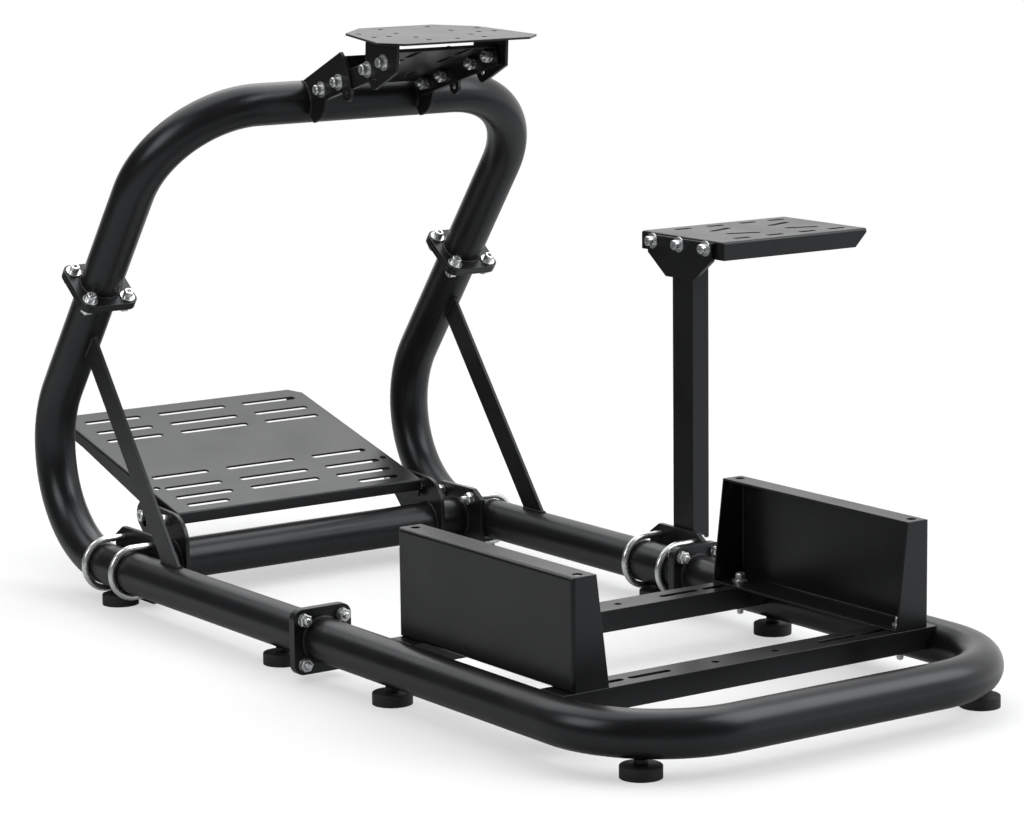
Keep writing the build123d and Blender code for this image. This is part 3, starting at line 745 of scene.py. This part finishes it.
def joint_places(part):
    """Nut places and screw places of the tube flanges and the gusset."""
    nuts, screws = [], []
    half_pitch = part.flange_pitch / 2
    for middle, axis, way in flange_faces():
        rise = axis.cross(across) * half_pitch
        places = nuts if way < 0 else screws
        for x in hands:
            places += [(middle + across * half_pitch * x + rise * y, axis * way) for y in hands]

    tray_low, tray_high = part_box("shifter_tray")
    gusset_low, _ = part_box("shifter_gusset")
    z = tray_high.z - part.gusset_drop
    for step in (-1, 0, 1):
        y = (tray_low.y + tray_high.y) / 2 + step * part.gusset_pitch
        screws.append((Vector((gusset_low.x, y, z)), -across))
        nuts.append((Vector((tray_low.x + part.tray_sheet, y, z)), across))
    return nuts, screws


def seat_places(part):
    """Nut places and screw places of the seat brackets on their rails."""
    nuts, screws = [], []
    for side in sides:
        low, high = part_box(f"seat_bracket_{side}")
        x = (low.x + high.x) / 2
        for rail in ("rear", "front"):
            rail_low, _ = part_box(f"seat_rail_{rail}")
            y = rail_low.y + part.rail_width / 2
            screws.append((Vector((x, y, low.z + part.bracket_sheet)), up))
            nuts.append((Vector((x, y, low.z - part.rail_sheet)), -up))
    return nuts, screws


def mount_axes(part):
    """The crossbar's middle, and the wheel arm's directions along and off itself."""
    low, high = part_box("hoop_tube")
    radius = part.tube_radius
    crossbar = Vector(((low.x + high.x) / 2, low.y + radius, high.z - radius))
    along = Vector((0, -cos(part.arm_angle), sin(part.arm_angle)))
    off = Vector((0, sin(part.arm_angle), cos(part.arm_angle)))
    return crossbar, along, off


def wheel_mount_places(part):
    """Nut places and screw places of the saddles and of the wheel plate's tabs on the arm."""
    crossbar, along, off = mount_axes(part)
    nuts, screws = [], []
    for station in arm_bolt_stations:
        spot = crossbar + along * station + off * part.arm_bolt_rise
        screws += on_both_sides(spot, part.mount_half_width + part.mount_sheet)
        nuts += on_both_sides(spot, part.mount_half_width - part.mount_sheet, -1)
    return nuts, screws


def nut_sizes(part, thread_end):
    """The nut tree's inputs."""
    own = {"Washer radius": part.nut_washer_radius, "Thread end": thread_end}
    return sizes_from(part, nut_inputs) | own


class WHEELSTAND_OT_joint_bolts(bpy.types.Operator):
    """Bolts of the tube flanges, the gusset, the seat brackets and the wheel mount"""

    bl_idname = "wheelstand.joint_bolts"
    bl_label = "Joint bolts"

    def execute(self, context):
        part = context.scene.stand_fasteners
        nuts, screws = joint_places(part)
        mount_nuts, mount_screws = wheel_mount_places(part)
        seat_nuts, seat_screws = seat_places(part)
        screws += mount_screws + seat_screws
        nuts += mount_nuts
        screw_sizes = sizes_from(part, screw_inputs)
        fasteners("joint_screws", cap_screw_tree(), screws, screw_sizes, "frame")
        tree = nut_tree()
        fasteners("joint_nuts", tree, nuts, nut_sizes(part, part.thread_end), "frame")
        fasteners("seat_nuts", tree, seat_nuts, nut_sizes(part, part.seat_thread_end), "frame")
        return {"FINISHED"}


class WHEELSTAND_OT_u_bolt_nuts(bpy.types.Operator):
    """Nuts, washers and thread on the legs of the clamps' U-bolts"""

    bl_idname = "wheelstand.u_bolt_nuts"
    bl_label = "U-bolt nuts"

    def execute(self, context):
        part = context.scene.stand_fasteners
        past_leg = 0.0004
        clamps = (("pedal_clamp_left", 1), ("pedal_clamp_right", -1), ("shifter_clamp", 1))
        places = []
        for name, outward in clamps:
            low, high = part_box(name)
            middle = (low + high) / 2
            middle.x = high.x if outward > 0 else low.x
            for y in hands:
                for z in hands:
                    off = Vector((0, y * part.u_bolt_pitch / 2, z * part.u_bolt_half_width))
                    places.append((middle + off, across * outward))
        tail = part.u_bolt_tail - part.washer_height - part.nut_height
        sizes = nut_sizes(part, tail + past_leg)
        fasteners("u_bolt_nuts", bpy.data.node_groups["nut end"], places, sizes, "frame")
        return {"FINISHED"}


class WHEELSTAND_OT_pedal_bolts(bpy.types.Operator):
    """Pivot bolts in the ears, and lock bolts that tilt with the pedal plate"""

    bl_idname = "wheelstand.pedal_bolts"
    bl_label = "Pedal bolts"

    def execute(self, context):
        part = context.scene.stand_fasteners
        collars = collar_tree()
        plate_low, plate_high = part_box("pedal_plate")
        ear_low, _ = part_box("pedal_ear_right")
        lip = (plate_high.x - plate_low.x) / 2
        inner = lip - part.pedal_sheet
        play = 0.0003
        shank_edge, spacer_edge, end_edge = 0.0001, 0.0003, 0.0010
        head_radius, head_height = part.pin_head_radius, part.pin_head_height
        head_sizes = sizes_from(part, screw_inputs) | {
            "Head radius": head_radius, "Head height": head_height,
            "Washer radius": head_radius, "Washer height": 0.0002,
        }
        for name, radius, body in (
            ("pedal_pivot_bolts", part.pivot_radius, "frame"),
            ("pedal_lock_bolts", part.lock_radius, "pedal_deck"),
        ):
            low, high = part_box(name)
            centre = (low + high) / 2
            centre.x = (plate_low.x + plate_high.x) / 2
            reach = (high.x - low.x) / 2 - head_height
            gap = ear_low.x - centre.x - lip - 2 * play
            turned_pieces = (
                ("shank", inner, 1, (radius, reach - inner, shank_edge)),
                ("spacer", lip + play, 1, (head_radius, gap, spacer_edge)),
                ("end", inner, -1, (head_radius, head_height, end_edge)),
            )
            stack = []
            for kind, offset, way, sizes in turned_pieces:
                places = on_both_sides(centre, offset, way)
                inputs = dict(zip(collar_inputs, sizes))
                stack.append(fasteners(f"{name}_{kind}", collars, places, inputs, body))
            heads = on_both_sides(centre, reach)
            screws = bpy.data.node_groups["cap screw"]
            stack.append(fasteners(f"{name}_head", screws, heads, head_sizes, body))
            for piece in stack:
                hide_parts(name)
        return {"FINISHED"}


# Weld beads

def ring(centre, axis, radius, corners=72):
    """Points of a circle round an axis."""
    first = axis.orthogonal().normalized()
    second = axis.cross(first)
    turns = [tau * step / corners for step in range(corners)]
    return [centre + (first * cos(turn) + second * sin(turn)) * radius for turn in turns]


def tube_end_seams(part):
    """Rings where tubes end on their flanges, and where the cross tube meets clamps and ears."""
    seams = [ring(middle, axis, part.tube_radius) for middle, axis, _ in flange_faces()]
    cross_tube = middle_of("pedal_cross_tube")
    for name in ("pedal_cross_tube", "pedal_ear_left", "pedal_ear_right"):
        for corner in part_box(name):
            middle = Vector((corner.x, cross_tube.y, cross_tube.z))
            seams.append(ring(middle, across, part.tube_radius))
    return seams


def saddle_seams(part):
    """Arcs where the saddles sit on the crossbar, from under it round the back to its top."""
    crossbar, along, off = mount_axes(part)
    first, last = radians(-47), radians(60)
    steps = 24
    turns = [first + (last - first) * step / steps for step in range(steps + 1)]
    arc = [(along * cos(turn) + off * sin(turn)) * part.tube_radius for turn in turns]
    seams = []
    for side in sides:
        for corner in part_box(f"wheel_saddle_{side}"):
            middle = Vector((corner.x, crossbar.y, crossbar.z))
            seams.append([middle + spoke for spoke in arc])
    return seams


def brace_seams():
    """Lines where the flat braces meet the floor tubes and the uprights, on both faces."""
    near, well_above = 1e-4, 1e-3
    seams = []
    for side in sides:
        mesh = nodes[f"brace_{side}"].data
        low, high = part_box(f"brace_{side}")
        for x in (low.x, high.x):
            corners = [v.co.copy() for v in mesh.vertices if abs(v.co.x - x) < near]
            foot = sorted((v for v in corners if v.z < low.z + near), key=lambda v: v.y)
            head = sorted((v for v in corners if v.z > low.z + well_above), key=lambda v: v.z)
            seams += [[foot[0], foot[-1]], [head[0], head[-1]]]
    return seams


def post_seams():
    """Lines where the shifter post stands on its clamp and under its gusset."""
    above_clamp_foot, below_clamp_top, below_post_top = 0.012, 0.002, 0.004
    post_low, post_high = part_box("shifter_post")
    clamp_low, clamp_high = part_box("shifter_clamp")
    gusset_low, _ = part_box("shifter_gusset")
    lengths = (
        (clamp_low.z + above_clamp_foot, clamp_high.z - below_clamp_top),
        (gusset_low.z, post_high.z - below_post_top),
    )
    return [
        [Vector((post_low.x, y, z)) for z in length]
        for y in (post_low.y, post_high.y)
        for length in lengths
    ]


class WHEELSTAND_OT_welds(bpy.types.Operator):
    """Weld beads at the flanges, clamps, ears, saddles, braces and post"""

    bl_idname = "wheelstand.welds"
    bl_label = "Weld beads"

    def execute(self, context):
        part = context.scene.stand_fasteners
        rings = tube_end_seams(part)
        lines = saddle_seams(part) + brace_seams() + post_seams()
        points, edges = [], []
        for seams, closed in ((rings, True), (lines, False)):
            for seam in seams:
                first, last = len(points), len(points) + len(seam) - 1
                points += seam
                edges += [(i, i + 1) for i in range(first, last)]
                if closed:
                    edges.append((last, first))
        carrier = bpy.data.meshes.new("weld_paths")
        carrier.from_pydata(points, edges, [])
        sizes = sizes_from(context.scene.stand_welds, (*bead_inputs, "Seed"))
        coat = bpy.data.materials["black_powder_coat_finish"]
        piece = grown("weld_beads", weld_tree(), carrier, sizes, coat)
        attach(piece, "frame")
        return {"FINISHED"}


# Stage

def sight(tree):
    """Masks of what the camera sees straight, and of what it sees in metal or through glass."""
    path = node(tree, "ShaderNodeLightPath").outputs
    mirrored = maths(tree, "MAXIMUM", path["Is Glossy Ray"], path["Is Transmission Ray"])
    return path["Is Camera Ray"], mirrored


def floor_material(stage):
    """Pale studio floor that melts into the backdrop with distance."""
    speck_lift = 1.02
    material, tree, shader, spot = start_material("studio_floor")
    away = node(tree, "ShaderNodeVectorMath", {0: spot}, operation="LENGTH").outputs["Value"]
    fade = mapped(tree, away, stage.floor_fade, stage.floor_radius, curve="SMOOTHSTEP")
    seen = maths(tree, "MAXIMUM", *sight(tree))
    clearness = maths(tree, "MAXIMUM", fade, maths(tree, "MULTIPLY", seen, stage.floor_lift))
    speck = noise(tree, spot, scale=40.0, detail=4.0)
    paler = [channel * speck_lift for channel in stage.floor]
    darker = [channel * stage.floor_bounce for channel in stage.floor]
    pale = blended(tree, speck, stage.floor, paler)
    fill(tree, shader, {
        "Base Color": blended(tree, seen, darker, pale),
        "Roughness": 0.8,
        "Specular IOR Level": 0.1,
    })
    clear = made(tree, "ShaderNodeBsdfTransparent")
    mix = made(tree, "ShaderNodeMixShader", {0: clearness, 1: shader.outputs[0], 2: clear})
    fill(tree, tree.nodes["Material Output"], {"Surface": mix})
    return material


def add_floor(stage):
    """A round floor under the stand."""
    mesh = bpy.data.meshes.new("studio_floor")
    rim = ring(Vector(), up, stage.floor_radius, corners=96)
    mesh.from_pydata(rim, [], [list(range(len(rim)))])
    mesh.materials.append(floor_material(stage))
    floor = bpy.data.objects.new("studio_floor", mesh)
    bpy.context.scene.collection.objects.link(floor)


def add_world(stage, lit):
    """A lit backdrop in an unlit studio, all white to the camera, and to metal where it stands."""
    world = bpy.data.worlds.new("studio")
    world.use_nodes = True
    tree = world.node_tree
    tree.nodes.clear()
    look = node(tree, "ShaderNodeTexCoord").outputs["Generated"]
    both = {0: look, 1: lit}
    ahead = node(tree, "ShaderNodeVectorMath", both, operation="DOT_PRODUCT").outputs["Value"]
    height = node(tree, "ShaderNodeSeparateXYZ", {0: look}).outputs["Z"]
    width = mapped(tree, ahead, low=0.0, high=0.65, curve="SMOOTHSTEP")
    foot = mapped(tree, height, low=-0.35, high=-0.10)
    backdrop = maths(tree, "MULTIPLY", width, foot)
    glow = ranged(tree, backdrop, stage.studio_dark, stage.backdrop)
    direct, mirrored = sight(tree)
    in_mirror = maths(tree, "MULTIPLY", mirrored, maths(tree, "MULTIPLY", backdrop, backdrop))
    seen = maths(tree, "MAXIMUM", direct, in_mirror)
    cool = (0.95, 0.98, 1.0, 1.0)
    studio = made(tree, "ShaderNodeBackground", {"Color": cool, "Strength": glow})
    white = made(tree, "ShaderNodeBackground", {"Color": (1, 1, 1, 1), "Strength": 1.0})
    final = made(tree, "ShaderNodeMixShader", {0: seen, 1: studio, 2: white})
    node(tree, "ShaderNodeOutputWorld", {"Surface": final})
    bpy.context.scene.world = world


def add_softbox(name, place, side, watts):
    """A square softbox that looks at the middle of the stand."""
    aim = Vector((0, 0, 0.2))
    light = bpy.data.lights.new(name, "AREA")
    light.shape = "SQUARE"
    light.size = side
    light.energy = watts
    lamp = bpy.data.objects.new(name, light)
    turn = (aim - Vector(place)).to_track_quat("-Z", "Y").to_matrix()
    lamp.matrix_world = Matrix.Translation(place) @ turn.to_4x4()
    bpy.context.scene.collection.objects.link(lamp)


def camera_axes(stage):
    """The camera's right, down and forward directions."""
    level = Vector((sin(stage.yaw), cos(stage.yaw), 0))
    forward = level * cos(stage.pitch) - up * sin(stage.pitch)
    right = Vector((cos(stage.yaw), -sin(stage.yaw), 0))
    down = forward.cross(right)
    turned_right = right * cos(stage.roll) + down * sin(stage.roll)
    turned_down = down * cos(stage.roll) - right * sin(stage.roll)
    return turned_right, turned_down, forward


def add_camera(stage):
    """The photograph's viewpoint."""
    right, down, forward = camera_axes(stage)
    data = bpy.data.cameras.new("camera")
    data.sensor_fit = "HORIZONTAL"
    data.sensor_width = 36.0
    data.lens = stage.lens
    data.clip_end = 50.0
    camera = bpy.data.objects.new("camera", data)
    turn = Matrix((right, -down, -forward)).transposed()
    camera.matrix_world = Matrix.Translation(stage.camera_place) @ turn.to_4x4()
    bpy.context.scene.collection.objects.link(camera)
    bpy.context.scene.camera = camera


class WHEELSTAND_OT_stage(bpy.types.Operator):
    """Floor, light and camera"""

    bl_idname = "wheelstand.stage"
    bl_label = "Stage"

    def execute(self, context):
        stage = context.scene.stand_stage
        add_floor(stage)
        right, _, forward = camera_axes(stage)
        add_world(stage, forward * cos(stage.backdrop_turn) + right * sin(stage.backdrop_turn))
        add_softbox("top_softbox", stage.top_place, stage.top_size, stage.top_power)
        add_softbox("right_softbox", stage.right_place, stage.right_size, stage.right_power)
        add_softbox("left_softbox", stage.left_place, stage.left_size, stage.left_power)
        add_camera(stage)
        context.scene.view_settings.view_transform = "Standard"
        return {"FINISHED"}


class WHEELSTAND_PT_panel(bpy.types.Panel):
    """Lists the steps that dress the wheel stand"""

    bl_idname = "WHEELSTAND_PT_panel"
    bl_label = "Wheel stand"
    bl_space_type = "VIEW_3D"
    bl_region_type = "UI"
    bl_category = "Wheel stand"

    def draw(self, context):
        for step in operators:
            self.layout.operator(step.bl_idname)
        for group in groups:
            values = getattr(context.scene, group)
            for name in values.__annotations__:
                self.layout.prop(values, name)


groups = {
    "stand_fasteners": StandFasteners,
    "stand_welds": StandWelds,
    "stand_finish": StandFinish,
    "stand_stage": StandStage,
}
operators = (
    WHEELSTAND_OT_finishes,
    WHEELSTAND_OT_joint_bolts,
    WHEELSTAND_OT_u_bolt_nuts,
    WHEELSTAND_OT_pedal_bolts,
    WHEELSTAND_OT_welds,
    WHEELSTAND_OT_stage,
)


def register():
    """Registers the properties, the steps and the panel."""
    for group in groups.values():
        bpy.utils.register_class(group)
    for name, group in groups.items():
        setattr(bpy.types.Scene, name, PointerProperty(type=group))
    for step in operators:
        bpy.utils.register_class(step)
    bpy.utils.register_class(WHEELSTAND_PT_panel)


def unregister():
    """Takes the panel, the steps and the properties out again."""
    bpy.utils.unregister_class(WHEELSTAND_PT_panel)
    for step in reversed(operators):
        bpy.utils.unregister_class(step)
    for name in groups:
        delattr(bpy.types.Scene, name)
    for group in reversed(list(groups.values())):
        bpy.utils.unregister_class(group)


def main():
    """Dresses the stand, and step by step."""
    register()
    bpy.ops.wheelstand.finishes()
    bpy.ops.wheelstand.joint_bolts()
    bpy.ops.wheelstand.u_bolt_nuts()
    bpy.ops.wheelstand.pedal_bolts()
    bpy.ops.wheelstand.welds()
    bpy.ops.wheelstand.stage()


if __name__ == "__main__":
    main()
